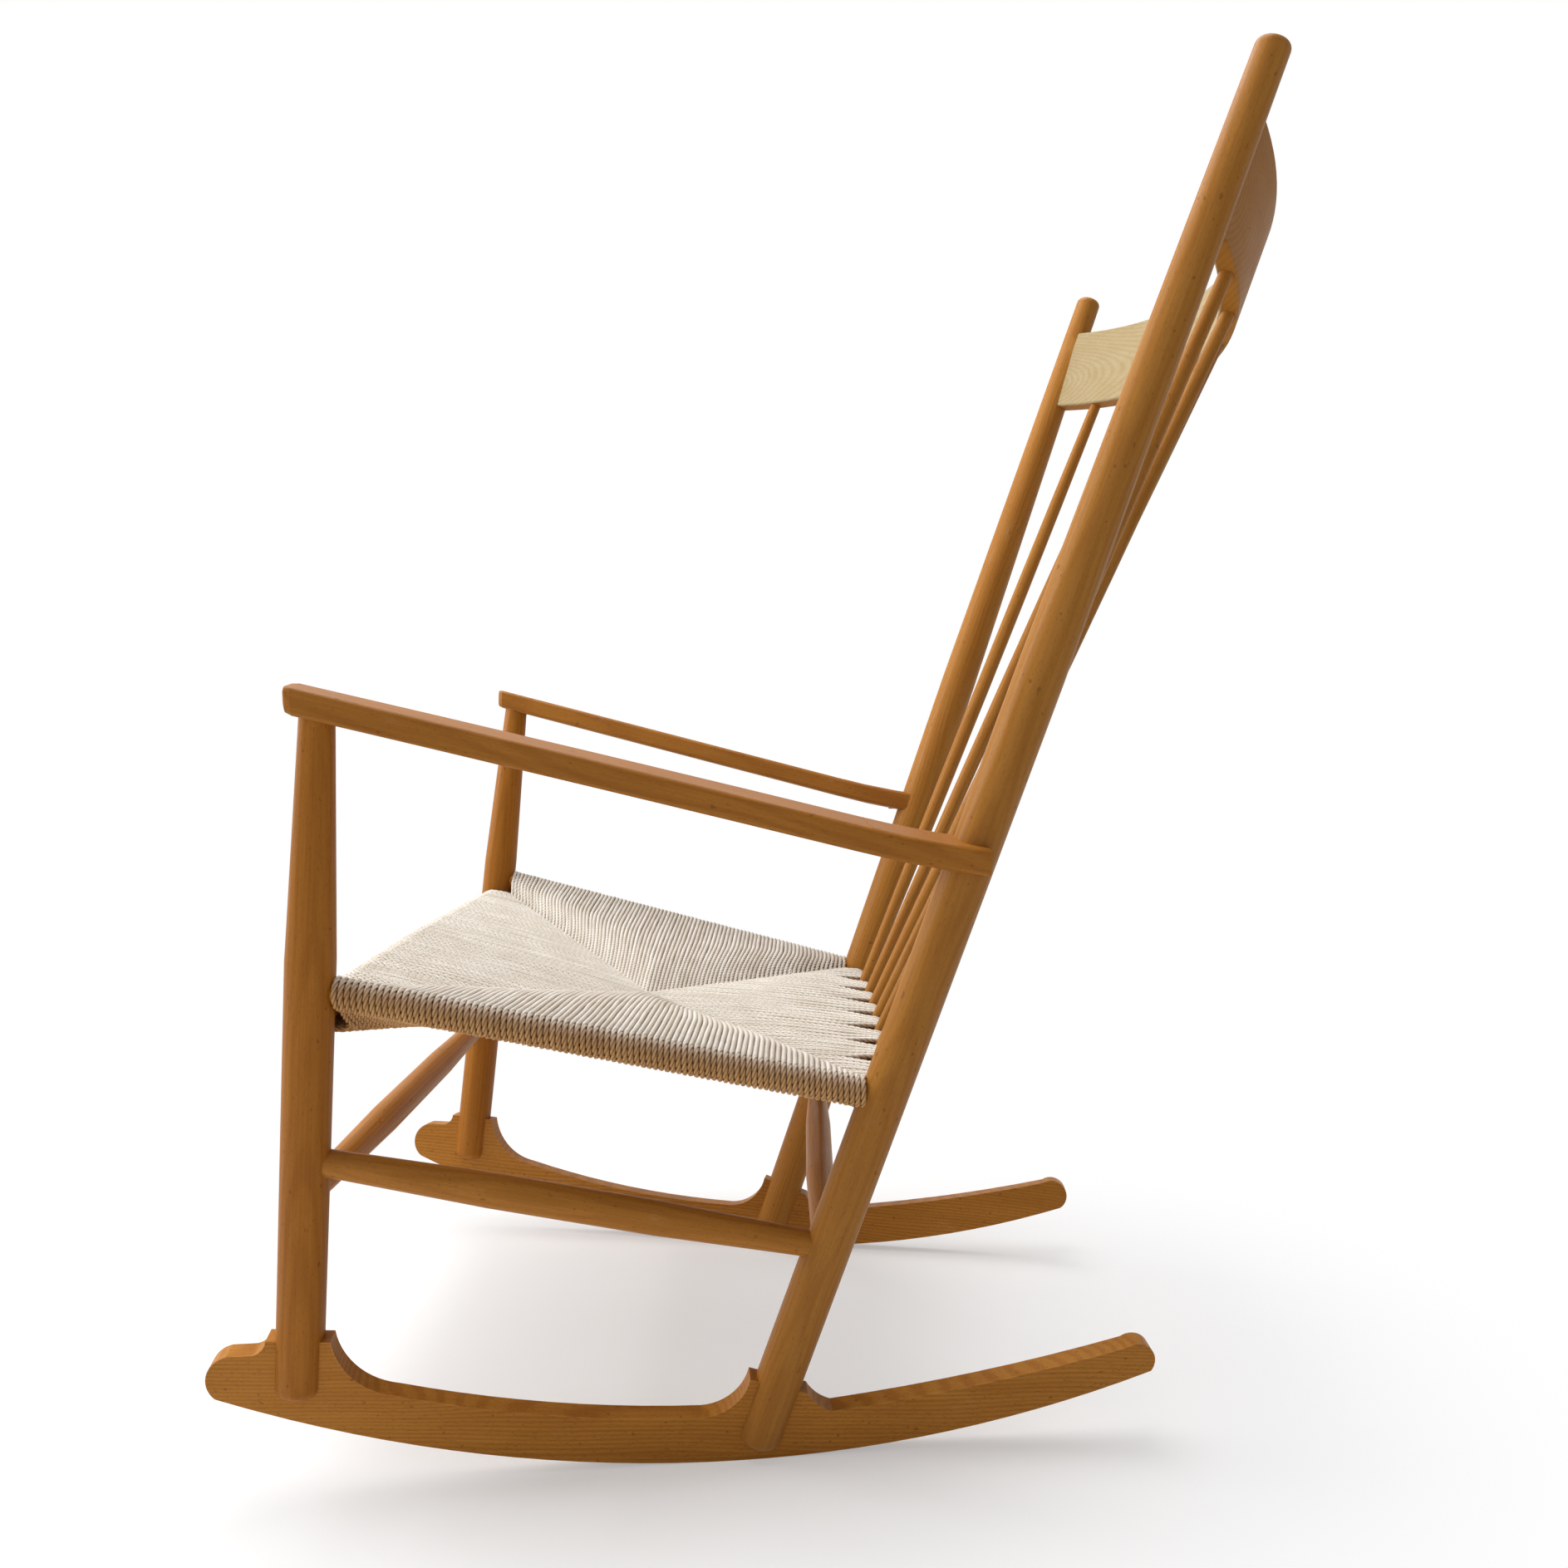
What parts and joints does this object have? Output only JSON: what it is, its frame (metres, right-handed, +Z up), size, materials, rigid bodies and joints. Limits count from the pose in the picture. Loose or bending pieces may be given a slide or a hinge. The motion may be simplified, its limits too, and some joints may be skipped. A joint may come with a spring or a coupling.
{
  "type": "rocking chair",
  "caption": "High-backed rocking chair of turned beech with a spindle back, bowed crest rail, flat armrests and a woven paper-cord seat.",
  "frame": {"origin": "on the floor, midway between the lines where the two rockers touch it at rest", "axes": "+Z up, the sitter faces -Y, +X to the sitter's left"},
  "size_m": [0.6496, 0.8544, 1.0686],
  "materials": {
    "beech": "clear satin lacquer on honey-coloured beech",
    "paper_cord": "twisted natural paper cord, matt"
  },
  "bodies": {
    "root": {"rocker_left": "beech", "rocker_right": "beech", "front_leg_left": "beech", "front_leg_right": "beech", "back_post_left": "beech", "back_post_right": "beech", "armrest_left": "beech", "armrest_right": "beech", "crest_rail": "beech", "spindle_1": "beech", "spindle_2": "beech", "spindle_3": "beech", "spindle_4": "beech", "spindle_5": "beech", "spindle_6": "beech", "spindle_7": "beech", "seat_rail_front": "beech", "seat_rail_rear": "beech", "seat_rail_left": "beech", "seat_rail_right": "beech", "stretcher_front": "beech", "stretcher_rear": "beech", "stretcher_left": "beech", "stretcher_right": "beech", "seat_weave": "paper_cord"}
  },
  "joints": []
}
